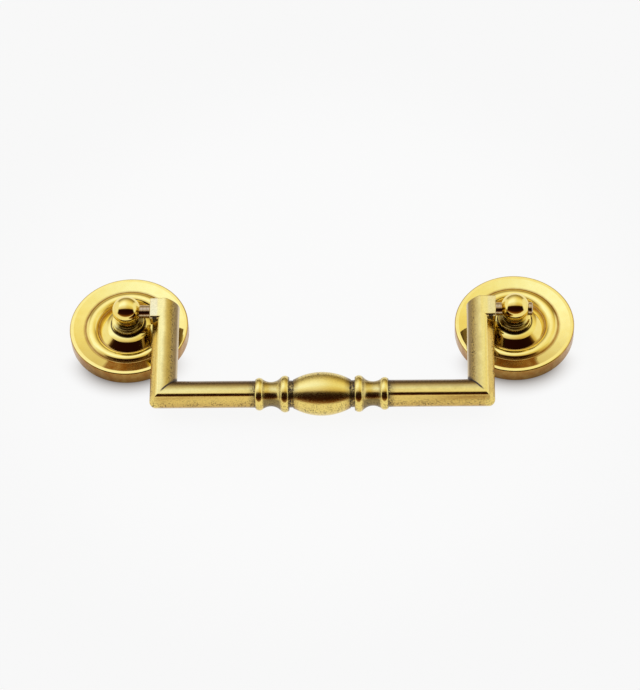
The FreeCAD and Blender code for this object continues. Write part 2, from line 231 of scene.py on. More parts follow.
class Outline:
    """Open outline of lines and arcs, in millimetres, with the solid on its left."""

    SHARPEST_TURN: float = 2.2
    SHARE_OF_SIDE: float = 0.45
    APART: float = 1e-6

    def __init__(self, start: Point) -> None:
        """Starts the outline at a point."""
        self.points: list[Point] = [start]
        self.joints: list[int] = []

    def line_to(self, *stops: Point) -> None:
        """Goes on in straight lines.

        Args:
            stops: the ends of the lines.
        """
        for stop in stops:
            self.joints.append(len(self.points) - 1)
            self.points.append(stop)

    def arc_to(self, end: Point, radius: float, bend: Bend, steps: int) -> None:
        """Goes on in an arc.

        Args:
            end: where the arc ends.
            radius: its radius.
            bend: hump or hollow.
            steps: how many edges it gets.
        """
        start = self.points[-1]
        dx, dy = end[0] - start[0], end[1] - start[1]
        chord = math.hypot(dx, dy)
        rise = math.sqrt(max(radius ** 2 - chord ** 2 / 4, 0.0)) * bend.value
        x, y = (start[0] + end[0]) / 2 - dy / chord * rise, (start[1] + end[1]) / 2 + dx / chord * rise
        first = math.atan2(start[1] - y, start[0] - x)
        last = math.atan2(end[1] - y, end[0] - x)
        sweep = ((last - first) * bend.value) % (2 * math.pi) * bend.value
        turns = [first + sweep * i / steps for i in range(1, steps + 1)]
        self.joints.append(len(self.points) - 1)
        self.points += [(x + radius * math.cos(t), y + radius * math.sin(t)) for t in turns]

    def along(self, distance: float, lengths: list[float]) -> Vector:
        """Finds the place at a distance along the outline.

        Args:
            distance: how far from its start.
            lengths: the distance of each of its points.

        Returns:
            The place.
        """
        index = max(1, next((i for i, s in enumerate(lengths) if s >= distance), len(lengths) - 1))
        before, after = lengths[index - 1], lengths[index]
        share = (distance - before) / (after - before)
        return Vector(self.points[index - 1]).lerp(Vector(self.points[index]), share)

    def eased(self, radius: float, steps: int = 6) -> list[Point]:
        """Rounds the corners between lines and arcs, as polishing does.

        Args:
            radius: the rounding's radius.
            steps: how many edges each rounding gets.

        Returns:
            The outline with its corners rounded.
        """
        lengths = [0.0]
        for start, end in zip(self.points, self.points[1:]):
            lengths.append(lengths[-1] + math.dist(start, end))
        stops = self.joints + [len(self.points) - 1]
        out = [self.points[0]]
        kept_to = 0.0
        for before, corner, after in zip(stops, stops[1:], stops[2:]):
            here = Vector(self.points[corner])
            back, ahead = Vector(self.points[corner - 1]) - here, Vector(self.points[corner + 1]) - here
            turn = math.pi - back.angle(ahead)
            room = min(lengths[corner] - lengths[before], lengths[after] - lengths[corner])
            reach = min(radius * math.tan(min(turn, self.SHARPEST_TURN) / 2), room * self.SHARE_OF_SIDE)
            start, end = lengths[corner] - reach, lengths[corner] + reach
            out += [p for p, s in zip(self.points, lengths) if kept_to + self.APART < s < start - self.APART]
            first, last = self.along(start, lengths), self.along(end, lengths)
            for i in range(steps + 1):
                spot = first.lerp(here, i / steps).lerp(here.lerp(last, i / steps), i / steps)
                out.append((spot.x, spot.y))
            kept_to = end
        out += [p for p, s in zip(self.points, lengths) if s > kept_to + self.APART]
        return out


def switch_to(mode: str) -> None:
    """Goes to edit mode or object mode."""
    bpy.ops.object.mode_set(mode=mode)


def pick(piece: Object) -> None:
    """Deselects all objects but one, and makes that one active."""
    bpy.ops.object.select_all(action="DESELECT")
    piece.select_set(True)
    bpy.context.view_layer.objects.active = piece


def draw_chain(name: str, places: list[Vector]) -> Object:
    """Draws a chain of edges in edit mode, from one vertex that is extruded on and on.

    Args:
        name: the new object's name.
        places: the chain's vertices.

    Returns:
        The object, still in edit mode.
    """
    bpy.ops.object.select_all(action="DESELECT")
    bpy.ops.mesh.primitive_plane_add(size=1.0)
    chain = bpy.context.object
    chain.name = name
    switch_to("EDIT")
    bpy.ops.mesh.merge(type="CENTER")
    bpy.ops.transform.translate(value=places[0])
    for start, end in zip(places, places[1:]):
        bpy.ops.mesh.extrude_vertices_move(TRANSFORM_OT_translate={"value": end - start})
    bpy.ops.mesh.select_all(action="SELECT")
    return chain


def clear_selection(piece: Object) -> None:
    """Deselects every vertex, edge and face of a mesh in object mode."""
    for elements in (piece.data.polygons, piece.data.edges, piece.data.vertices):
        elements.foreach_set("select", [False] * len(elements))


def close_mesh() -> None:
    """Merges doubled vertices of the mesh in edit mode, turns its faces outwards and leaves edit mode."""
    bpy.ops.mesh.select_all(action="SELECT")
    bpy.ops.mesh.remove_doubles(threshold=WELD)
    bpy.ops.mesh.normals_make_consistent(inside=False)
    switch_to("OBJECT")


def turn_profile(name: str, profile: list[Point], steps: int, axis: Vector,
                 outward: Vector) -> Object:
    """Turns a profile into a solid, as on a lathe.

    Args:
        name: the new object's name.
        profile: pairs of radius and place along the axis, in millimetres.
        steps: how many facets the turning gets.
        axis: the turning axis, through the origin.
        outward: the direction in which the profile is drawn.

    Returns:
        The turned object, in millimetres.
    """
    lathe = draw_chain(name, [outward * radius + axis * along for radius, along in profile])
    bpy.ops.mesh.spin(steps=steps, angle=2 * math.pi, center=(0, 0, 0), axis=axis)
    close_mesh()
    return lathe


def combine(target: Object, tool: Object, operation: str) -> None:
    """Joins or cuts one mesh with another, and removes the tool.

    Args:
        target: the mesh that stays.
        tool: the mesh that is added or taken away.
        operation: UNION or DIFFERENCE.
    """
    pick(target)
    modifier = target.modifiers.new("combine", "BOOLEAN")
    modifier.operation = operation
    modifier.solver = "MANIFOLD"
    modifier.object = tool
    bpy.ops.object.modifier_apply(modifier=modifier.name)
    bpy.data.objects.remove(tool)


def settle(piece: Object, place: Matrix, angle: float = 26.0) -> None:
    """Shades a piece smooth, sizes it to metres and puts its place into its mesh.

    Args:
        piece: the object, modelled in millimetres about the origin.
        place: its turn and place in millimetres.
        angle: edges that turn by more than this many degrees stay sharp.
    """
    pick(piece)
    piece.matrix_world = Matrix.Scale(MM, 4) @ place
    bpy.ops.object.transform_apply(location=True, rotation=True, scale=True)
    bpy.ops.object.shade_smooth_by_angle(angle=math.radians(angle))


def copy_piece(piece: Object, name: str) -> Object:
    """Copies a piece with a mesh of its own."""
    twin = piece.copy()
    twin.data = piece.data.copy()
    twin.name = name
    bpy.context.scene.collection.objects.link(twin)
    return twin


@dataclass(frozen=True)
class PolishedBrass:
    """Turned brass, polished and lacquered: a yellow mirror, brown tarnish where the polishing wheel can't
    reach, and painted shade and painted reflections near the post, down the rim and at the band's front.
    """

    light: str = "#F8E486"
    deep: str = "#F1D46C"
    # Brown for tarnish and for painted shade and reflections; a darker brown for painted shade near the post.
    tarnish_and_shade_brown: str = "#9A5A10"
    painted_shade_brown: str = "#45280E"
    post_place: float = 48.0
    face_radius: float = 16.0
    post_radius: float = 4.1
    post_height: float = 16.0
    arm_lean: float = 0.6
    post_front: Span = (1.2, -1.2)
    band_front: Span = (-0.895, -0.925, 0.0, 0.92)
    band_dish: Span = (12.5, 1.5, 0.3)
    painted_shade_reach: Span = (7.0, 5.0)
    blotch_scale: float = 0.55
    blotch_share: Span = (0.3, 0.65, 0.84, 1.05)
    polish: Span = (0.0, 1.0, 0.03, 0.07)
    brown_roughness: float = 0.26
    lacquer: Span = (0.0, 1.0, 0.4, 0.0)
    lacquer_roughness: float = 0.05
    ring_scale: float = 1.1
    ring_depth: float = 0.02
    # Brown by radius: painted shade at the collar's foot, tarnish in the groove and at the ring's foot,
    # painted reflection down the rim's side.
    face_tarnish_and_shade: dict[float, str] = field(default_factory=lambda: {
        0.262: "#FFFFFF", 0.270: "#FFFFFF", 0.285: "#000000", 0.445: "#000000", 0.475: "#E8E8E8",
        0.495: "#C0C0C0", 0.52: "#000000", 0.65: "#000000", 0.672: "#F0F0F0", 0.695: "#C8C8C8",
        0.72: "#000000", 0.909: "#000000", 0.919: "#ECECEC"})
    # Painted shade by height on the post: the collar's side, its top and the neck's foot.
    post_painted_shade: dict[float, str] = field(default_factory=lambda: {
        0.285: "#FFFFFF", 0.355: "#E8E8E8", 0.362: "#000000", 0.373: "#000000", 0.3745: "#E4E4E4",
        0.44: "#F0F0F0", 0.462: "#000000"})

    def material(self) -> Material:
        """Builds the finish."""
        finish, add = new_finish("polished_lacquered_brass")
        about = AboutPosts(add, self.post_place)

        # Brown tarnish stays in the groove and at the ring's foot. Painted brown also stands for shade and
        # reflections:
        # a painted reflection of the shaded table down the rim's side, a painted reflection of the post at
        # the front of the dished band, painted shade round the collar's foot on the dome, and painted shade
        # on the post in front and towards the arm.
        out_share = add("Math DIVIDE", [about.radius, self.face_radius])
        on_face = add("ValToRGB", {0: out_share}, self.face_tarnish_and_shade)
        # Painted shade on the collar, kept to the front and the side towards the arm.
        up_share = add("Math DIVIDE", [about.z, self.post_height])
        on_post = add("ValToRGB", {0: up_share}, self.post_painted_shade)
        armward = add("Math MULTIPLY_ADD", [about.across, self.arm_lean, about.y])
        in_front = add("MapRange", {"Value": armward, **span(*self.post_front)})
        post_shade = add("Math MULTIPLY", [on_post, in_front])
        # Painted reflection of the post: brown at the front of the dished band.
        foremost = add("MapRange", {"Value": about.facing, **span(*self.band_front)})
        dish = spot(add, about.radius, *self.band_dish)
        face_dark = add("Math MULTIPLY_ADD", [dish, foremost, on_face], use_clamp=True)
        is_face = add("Math GREATER_THAN", [about.radius, self.post_radius])
        dark_share = add("Mix", {"Factor": is_face, "A": post_shade, "B": face_dark}, data_type="RGBA")
        blotches = add("TexNoise", {"Vector": about.place, "Scale": self.blotch_scale, "Detail": 4.0})
        uneven = add("MapRange", {"Value": blotches, **span(*self.blotch_share)})
        brown = add("Math MULTIPLY", [dark_share, uneven], use_clamp=True)

        # The lacquer deepens the yellow here and there, and the lathe leaves faint rings.
        tone = layered(add, linear(self.light), [(blotches, self.deep)])
        # Nearest the post the brown darkens further, as painted shade.
        by_post = add("MapRange", {"Value": about.radius, **span(*self.painted_shade_reach)})
        tarnish_and_shade_colour = layered(add, linear(self.tarnish_and_shade_brown), [(by_post, self.painted_shade_brown)])
        colour = add("Mix", {"Factor": brown, "A": tone, "B": tarnish_and_shade_colour}, data_type="RGBA")
        rough = add("MapRange", {"Value": blotches, **span(*self.polish)})
        dulled = add("Math MULTIPLY_ADD", [brown, self.brown_roughness, rough])
        lacquer = add("MapRange", {"Value": brown, **span(*self.lacquer)})
        rings = add("TexWave", {
            "Vector": about.flat, "Scale": self.ring_scale, "Distortion": 0.4, "Detail": 2.0},
            wave_type="RINGS", rings_direction="Z")
        lines = add("Bump", {"Height": rings, "Strength": 0.03, "Distance": self.ring_depth * MM})
        return make_metal(finish, {
            "Base Color": colour, "Roughness": dulled, "Normal": lines, "Coat Weight": lacquer,
            "Coat Roughness": self.lacquer_roughness})


@dataclass(frozen=True)
class AntiqueBrass:
    """Cast brass, antiqued and rubbed satin: pale on the ridge from rubbing and a painted highlight, painted
    shade on the back and underside, grey-brown in hollows, pitted all over.
    """

    pivot_height: float
    shift: float
    dip: float
    arm_reach: float
    drop: float
    dark: str = "#3E2F20"
    # Patina in hollows, also used as painted shade on the lugs' fronts.
    patina_and_shade: str = "#4C3F34"
    # Rubbed collars, and a painted highlight on the outer corners.
    rubbed_and_highlight: str = "#F4DB7C"
    edge: str = "#C8B084"
    # Painted shade on the back of the plain bar.
    painted_back_shade: str = "#72593A"
    # Painted highlight on the lugs.
    lug_highlight: str = "#F0E2AC"
    sawn: str = "#B89A5C"
    noises: tuple[Point, ...] = ((0.35, 5.0), (1.6, 4.0), (3.2, 3.0))
    wander: float = 0.06
    inner_strip: Span = (0.275, 0.065, 0.04)
    back_shade_share: float = 0.75
    bar_back: Span = (0.36, 0.16, 0.11)
    plain_bar: Span = (15.8, 16.4)
    lug_place: Span = (-4.2, -3.6)
    lug_outside: Span = (1.6, 2.2, 0.0, 0.6)
    knuckle_highlight: Span = (0.4, 1.6, 0.0, 0.7)
    end_facing: Span = (0.45, 0.75)
    cloud_tone: Span = (0.3, 0.7, 0.92, 1.05)
    baluster_reach: float = 20.0
    ragged: Span = (0.38, 0.56, 0.35)
    mitre_line: Span = (0.0, 0.4, 0.2)
    mitre_inside: Span = (0.7, -0.1)
    corner_spot: Span = (0.0, 1.1, 0.8)
    corner_inside: Span = (-1.4, -3.0)
    neck_spot: Span = (12.15, 2.2, 0.3)
    neck_low: Span = (0.61, 0.65, 0.0, 0.7)
    # Painted shade on the lugs' front faces.
    front_facing: Span = (-0.45, -0.75)
    lug_shade_reach: Span = (2.6, 0.7, 0.3)
    pit_grain: Span = (0.53, 0.60)
    pit_patches: Span = (0.40, 0.55, 0.6)
    pit_depth: float = 0.05
    satin: Span = (0.3, 0.7, 0.15, 0.23)
    bead_satin: Span = (7.0, 6.5, 0.0, 0.03)
    patina_roughness: float = 0.25
    wax: float = 0.2
    wax_roughness: float = 0.15
    # Tones round the section: wear, with a painted highlight on the ridge and painted shade on the back and
    # underside.
    wear_and_painted_light_tones: dict[float, str] = field(default_factory=lambda: {
        0.0: "#6E5A3A", 0.167: "#78643F", 0.25: "#86714E", 0.322: "#8A734A", 0.375: "#9A7F48",
        0.43: "#B6984E", 0.478: "#D2B45E", 0.522: "#F2DA82", 0.575: "#F2DA82", 0.60: "#E8C86C",
        0.667: "#E6C66A", 0.736: "#D2B062", 0.778: "#C8A664", 0.817: "#8E7654", 0.86: "#7C6844",
        1.0: "#6E5A3A"})
    pitted: dict[float, str] = field(default_factory=lambda: {
        0.0: "#000000", 0.27: "#202020", 0.34: "#909090", 0.40: "#FFFFFF", 0.44: "#A0A0A0", 0.48: "#404040",
        0.58: "#404040", 0.64: "#909090", 0.71: "#E0E0E0", 0.75: "#FFFFFF", 0.79: "#606060", 0.84: "#000000"})
    hollows: dict[float, str] = field(default_factory=lambda: {
        0.0: "#000000", 0.27: "#000000", 0.33: "#909090", 0.345: "#FFFFFF", 0.40: "#FFFFFF", 0.415: "#000000",
        0.485: "#000000", 0.50: "#C0C0C0", 0.53: "#606060", 0.68: "#606060", 0.71: "#C0C0C0",
        0.722: "#000000", 0.80: "#000000", 0.812: "#FFFFFF", 0.845: "#C0C0C0", 0.90: "#000000"})
    rubbing: dict[float, str] = field(default_factory=lambda: {
        0.0: "#EAEAEA", 0.27: "#E4E4E4", 0.32: "#000000", 0.40: "#000000", 0.42: "#F0F0F0", 0.48: "#F0F0F0",
        0.50: "#808080", 0.70: "#808080", 0.735: "#F0F0F0", 0.79: "#F0F0F0", 0.805: "#000000"})

    def material(self) -> Material:
        """Builds the finish."""
        finish, add = new_finish("antiqued_cast_brass")
        place = add("TexCoord", {})
        flat = add("Mapping", {
            "Vector": place.outputs["Object"], "Location": (self.shift * MM, 0, self.pivot_height * MM),
            "Rotation": (math.radians(self.dip), 0, 0), "Scale": (MM, MM, MM)}, vector_type="TEXTURE")
        x, y, z = add("SeparateXYZ", {0: flat}).outputs
        beside = add("Math ABSOLUTE", [x])
        from_arm = add("Math SUBTRACT", [beside, self.arm_reach])
        from_bar = add("Math MULTIPLY_ADD", [y, -1.0, -self.drop])
        outward = add("Math MAXIMUM", [from_arm, from_bar])
        turn = add("Math ARCTAN2", [outward, z])
        around = add("Math MULTIPLY_ADD", [turn, 0.5 / math.pi, 0.5])

        # Noise at three sizes: mottling of the patina, cloudy rubbing and pits of the casting.
        mottling, cloud, grain = (add("TexNoise", {"Vector": flat, "Scale": scale, "Detail": detail})
                                  for scale, detail in self.noises)

        # Rubbing leaves the ridge and the corners pale. The tones round the section add a painted highlight
        # on the ridge and painted shade on the back and underside; the back of the plain bar gets more
        # painted shade, the lugs and the outer corners a painted highlight, and the arms' inner side a paler
        # strip.
        wander = add("Math MULTIPLY_ADD", [mottling, self.wander, around])
        shifted = add("Math SUBTRACT", [wander, self.wander / 2])
        # Painted highlight on the ridge and painted shade on the back and underside, by the turn round the
        # section.
        tones = add("ValToRGB", {0: shifted}, self.wear_and_painted_light_tones)
        on_arm = add("Math GREATER_THAN", [from_arm, from_bar])
        inner_edge = add("Math MULTIPLY", [on_arm, spot(add, around, *self.inner_strip)])
        on_bar = add("Math SUBTRACT", [self.back_shade_share, on_arm], use_clamp=True)
        plain = add("MapRange", {"Value": beside, **span(*self.plain_bar)})
        plain_bar = add("Math MULTIPLY", [on_bar, plain])
        # Painted shade on the back of the plain bar.
        unlit = add("Math MULTIPLY", [plain_bar, spot(add, around, *self.bar_back)])
        at_lug = add("MapRange", {"Value": y, **span(*self.lug_place)})
        outside = add("MapRange", {"Value": from_arm, **span(*self.lug_outside)})
        # Painted highlight on the lugs.
        lug_top = add("Math MULTIPLY", [at_lug, outside])
        both_out = add("Math MINIMUM", [from_arm, from_bar])
        # Painted highlight on the outer corners.
        knuckle_highlight = add("MapRange", {"Value": both_out, **span(*self.knuckle_highlight)})
        facing = add("SeparateXYZ", {0: place.outputs["Normal"]}).outputs["Y"]
        on_end = add("MapRange", {"Value": facing, **span(*self.end_facing)})
        arm_end = add("Math MULTIPLY", [at_lug, on_end])
        worked = layered(add, tones, [(inner_edge, self.edge), (unlit, self.painted_back_shade), (lug_top, self.lug_highlight),
                                      (knuckle_highlight, self.rubbed_and_highlight), (arm_end, self.sawn)])
        cloudy = add("MapRange", {"Value": cloud, **span(*self.cloud_tone)})
        base = add("VectorMath SCALE", {0: worked, "Scale": cloudy})

        # Patina stays beside the collars and in the quirks and mitres. The same colour darkens the necks low
        # on their front, and the lugs' front faces as painted shade.
        along = add("Math DIVIDE", [beside, self.baluster_reach])
        collars = add("ValToRGB", {0: along}, self.rubbing)
        dark_share = add("ValToRGB", {0: along}, self.hollows)
        ragged = add("MapRange", {"Value": grain, **span(*self.ragged)})
        off_mitre = add("Math SUBTRACT", [from_arm, from_bar])
        inside = add("MapRange", {"Value": outward, **span(*self.mitre_inside)})
        inmost = add("MapRange", {"Value": outward, **span(*self.corner_inside)})
        # The necks darken low on their front side.
        low = add("MapRange", {"Value": around, **span(*self.neck_low)})
        # Painted shade: the lugs' front faces darken.
        frontal = add("MapRange", {"Value": facing, **span(*self.front_facing)})
        lug_front_shade = add("Math MULTIPLY", [at_lug, frontal])
        dark_places = [(dark_share, ragged), (spot(add, off_mitre, *self.mitre_line), inside),
                 (spot(add, off_mitre, *self.corner_spot), inmost), (spot(add, beside, *self.neck_spot), low),
                 (spot(add, from_arm, *self.lug_shade_reach), lug_front_shade)]
        patina_and_shade_mask = 0.0
        for where, share in dark_places:
            dark_place = add("Math MULTIPLY", [where, share])
            patina_and_shade_mask = add("Math MAXIMUM", [patina_and_shade_mask, dark_place])

        # Pits lie thickest along the inner third and low on the outside, with none on the sawn ends.
        pitting = add("MapRange", {"Value": grain, **span(*self.pit_grain)})
        thick = add("ValToRGB", {0: around}, self.pitted)
        patches = add("MapRange", {"Value": mottling, **span(*self.pit_patches)})
        off_end = add("Math SUBTRACT", [1.0, arm_end])
        for share in (thick, patches, off_end):
            pitting = add("Math MULTIPLY", [pitting, share])
        colour = layered(add, base, [(collars, self.rubbed_and_highlight), (patina_and_shade_mask, self.patina_and_shade), (pitting, self.dark)])
        worn = add("MapRange", {"Value": cloud, **span(*self.satin)})
        on_bead = add("MapRange", {"Value": beside, **span(*self.bead_satin)})
        satin = add("Math ADD", [worn, on_bead])
        rough = add("Math MULTIPLY_ADD", [patina_and_shade_mask, self.patina_roughness, satin])
        dents = add("Bump", {"Height": pitting, "Strength": 0.15, "Distance": self.pit_depth * MM},
                    invert=True)
        return make_metal(finish, {
            "Base Color": colour, "Roughness": rough, "Normal": dents, "Coat Weight": self.wax,
            "Coat Roughness": self.wax_roughness})


@dataclass(frozen=True)
class PinSteel:
    """Drawn steel wire, cut to length and browned: a warm grey-brown satin with fine rings round it."""

    colour: str = "#D8C096"
    dark: str = "#8E7450"
    ring_scale: float = 0.9
    satin: Span = (0.0, 1.0, 0.2, 0.12)

    def material(self) -> Material:
        """Builds the finish."""
        finish, add = new_finish("browned_steel_wire")
        place = add("TexCoord", {})
        spread = add("VectorMath SCALE", {0: place.outputs["Object"], "Scale": 1 / MM})
        rings = add("TexWave", {"Vector": spread, "Scale": self.ring_scale, "Distortion": 2.5, "Detail": 3.0},
                    bands_direction="X")
        tone = layered(add, linear(self.dark), [(rings, self.colour)])
        rough = add("MapRange", {"Value": rings, **span(*self.satin)})
        return make_metal(finish, {"Base Color": tone, "Roughness": rough})


@dataclass
class Rosette:
    """Stepped round backplate: dished rim band, raised ring, groove and dome. Sizes in millimetres."""

    radius: float = 14.8
    rim_height: float = 3.7
    rim_edge: float = 0.4
    rim_land: float = 0.6
    back_land: float = 1.8
    back_boss: float = 6.0
    back_recess: float = 1.0
    band_inner: float = 11.0
    band_fall: float = 0.6
    ring_rise: float = 0.75
    ring_outer: float = 1.7
    ring_inner: float = 1.6
    groove_fall: float = 1.15
    crest_round: float = 1.51
    foot_round: float = 4.0
    shoulder_round: float = 4.0
    seat_radius: float = 4.2
    seat_height: float = 4.7
    hole_radius: float = 3.05
    back_ease: float = 0.08
    face_ease: float = 0.22
    ring_slope: Point = (0.75, 0.5)
    dome_foot: Point = (0.6, 0.42)
    dome_shoulder: Point = (1.35, 0.5)
    place: float = 48.0
    facets: int = 192

    def profile(self) -> list[Point]:
        """Works out the closed outline that is turned, from the spigot hole round the back, rim and face."""
        land = self.radius - self.back_land
        rear = Outline((self.hole_radius, self.seat_height / 2))
        rear.line_to((self.hole_radius, 0.0), (self.back_boss, 0.0), (self.back_boss, self.back_recess))
        half_way = (self.radius, self.rim_height / 2)
        rear.line_to((land, self.back_recess), (land, 0.0), (self.radius, 0.0), half_way)
        rim_top = (self.radius - self.rim_edge, self.rim_height)
        ring_foot = (self.band_inner, self.rim_height - self.band_fall)
        ring_top = (self.band_inner - self.ring_outer, ring_foot[1] + self.ring_rise)
        groove = (ring_top[0] - self.ring_inner, self.rim_height - self.groove_fall)
        seat = (self.seat_radius, self.seat_height)
        face = Outline(half_way)
        face.line_to((self.radius, self.rim_height - self.rim_edge))
        face.arc_to(rim_top, self.rim_edge, Bend.HUMP, steps=10)
        face.line_to((rim_top[0] - self.rim_land, self.rim_height), ring_foot)
        face.line_to((ring_foot[0] - self.ring_slope[0], ring_foot[1] + self.ring_slope[1]))
        face.arc_to(ring_top, self.crest_round, Bend.HUMP, steps=16)
        ring_round = radius_from_rise(2 * self.ring_inner, ring_top[1] - groove[1])
        face.arc_to(groove, ring_round, Bend.HUMP, steps=20)
        dome_foot = (groove[0] - self.dome_foot[0], groove[1] + self.dome_foot[1])
        face.arc_to(dome_foot, self.foot_round, Bend.HOLLOW, steps=10)
        face.line_to((seat[0] + self.dome_shoulder[0], seat[1] - self.dome_shoulder[1]))
        face.arc_to(seat, self.shoulder_round, Bend.HUMP, steps=12)
        face.line_to((self.hole_radius, self.seat_height), (self.hole_radius, self.seat_height / 2))
        return rear.eased(self.back_ease)[:-1] + face.eased(self.face_ease)

    def build(self, finish: Material) -> list[Object]:
        """Turns one rosette, copies it to both ends and dresses both.

        Args:
            finish: the brass that they are made of.

        Returns:
            The left and the right rosette.
        """
        master = turn_profile("rosette", self.profile(), self.facets, UP, ACROSS)
        return place_pair(master, "rosette", "mounting", finish)


@dataclass
class Post:
    """Turned post: spigot, flat collar, short neck and a ball that is bored across. Sizes in millimetres."""

    spigot_radius: float = 3.0
    screw_radius: float = 1.65
    screw_depth: float = 5.2
    drill_point: float = 0.9
    seat_height: float = 4.7
    collar_radius: float = 4.0
    collar_height: float = 1.3
    collar_edge: float = 0.25
    neck_radius: float = 2.8
    neck_cove: float = 0.7
    ball_radius: float = 3.55
    ball_height: float = 10.1
    bore_radius: float = 1.66
    ease: float = 0.06
    facets: int = 128

    def profile(self) -> list[Point]:
        """Works out the outline that is turned, from the drilled hole round the outside to the ball's top."""
        top = self.seat_height + self.collar_height
        neck = (self.neck_radius, self.ball_height - math.sqrt(self.ball_radius ** 2 - self.neck_radius ** 2))
        outline = Outline((0.0, self.screw_depth + self.drill_point))
        outline.line_to((self.screw_radius, self.screw_depth), (self.screw_radius, 0.0))
        outline.line_to((self.spigot_radius, 0.0))
        outline.line_to((self.spigot_radius, self.seat_height), (self.collar_radius, self.seat_height))
        outline.line_to((self.collar_radius, top - self.collar_edge))
        outline.arc_to((self.collar_radius - self.collar_edge, top), self.collar_edge, Bend.HUMP, steps=8)
        outline.line_to((self.neck_radius + self.neck_cove, top))
        outline.arc_to((self.neck_radius, top + self.neck_cove), self.neck_cove, Bend.HOLLOW, steps=12)
        outline.line_to(neck)
        outline.arc_to((0.0, self.ball_height + self.ball_radius), self.ball_radius, Bend.HUMP, steps=64)
        return outline.eased(self.ease)

    def build(self, finish: Material, pivot_height: float) -> list[Object]:
        """Turns one post, bores it, copies it to both ends and dresses both.

        Args:
            finish: the brass that they are made of.
            pivot_height: height of the bore above the mounting plane.

        Returns:
            The left and the right post.
        """
        master = turn_profile("post", self.profile(), self.facets, UP, ACROSS)
        bpy.ops.object.select_all(action="DESELECT")
        bpy.ops.mesh.primitive_cylinder_add(
            vertices=96, radius=self.bore_radius, depth=4 * self.ball_radius,
            location=(0, 0, pivot_height), rotation=(0, math.pi / 2, 0))
        combine(master, bpy.context.object, "DIFFERENCE")
        return place_pair(master, "post", "mounting", finish)


def place_pair(master: Object, kind: str, body: str, finish: Material) -> list[Object]:
    """Copies a piece to the place of its left and right CAD node, and dresses both.

    Args:
        master: the piece, in millimetres about the origin, which becomes the left one.
        kind: what follows left_ and right_ in the nodes' names.
        body: the body that both ride on.
        finish: their material.

    Returns:
        The left and the right piece.
    """
    pair = []
    for side in Side:
        node = f"{side.name.lower()}_{kind}"
        low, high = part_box(node)
        piece = copy_piece(master, f"{node}_turned")
        settle(piece, Matrix.Translation(((low.x + high.x) / 2 / MM, 0, 0)))
        dress(piece, finish, body, node)
        pair.append(piece)
    bpy.data.objects.remove(master)
    return pair


def dress(piece: Object, finish: Material, body: str, node: str) -> None:
    """Gives a piece its material and body, and lets it stand for its CAD node.

    Args:
        piece: the finished mesh.
        finish: its material.
        body: the body that it rides on.
        node: the CAD node that it replaces.
    """
    piece.data.materials.clear()
    piece.data.materials.append(finish)
    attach(piece, body)
    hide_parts(node)


@dataclass
class Pin:
    """Straight pivot pin with a chamfer at each end. Sizes in millimetres."""

    radius: float = 1.6
    chamfer: float = 0.25
    ease: float = 0.05
    facets: int = 96

    def build(self, finish: Material, pivot_height: float) -> list[Object]:
        """Turns one pin along the bar, copies it to both ends and dresses both.

        Args:
            finish: the steel that they are made of.
            pivot_height: height of the pins above the mounting plane.

        Returns:
            The left and the right pin.
        """
        low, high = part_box("left_pivot_pin")
        half = (high.x - low.x) / 2 / MM
        outline = Outline((0.0, -half))
        outline.line_to((self.radius - self.chamfer, -half), (self.radius, self.chamfer - half))
        outline.line_to((self.radius, half - self.chamfer), (self.radius - self.chamfer, half), (0.0, half))
        master = turn_profile("pivot_pin", outline.eased(self.ease), self.facets, ACROSS, UP)
        pick(master)
        master.location.z = pivot_height
        bpy.ops.object.transform_apply(location=True)
        return place_pair(master, "pivot_pin", "swing", finish)


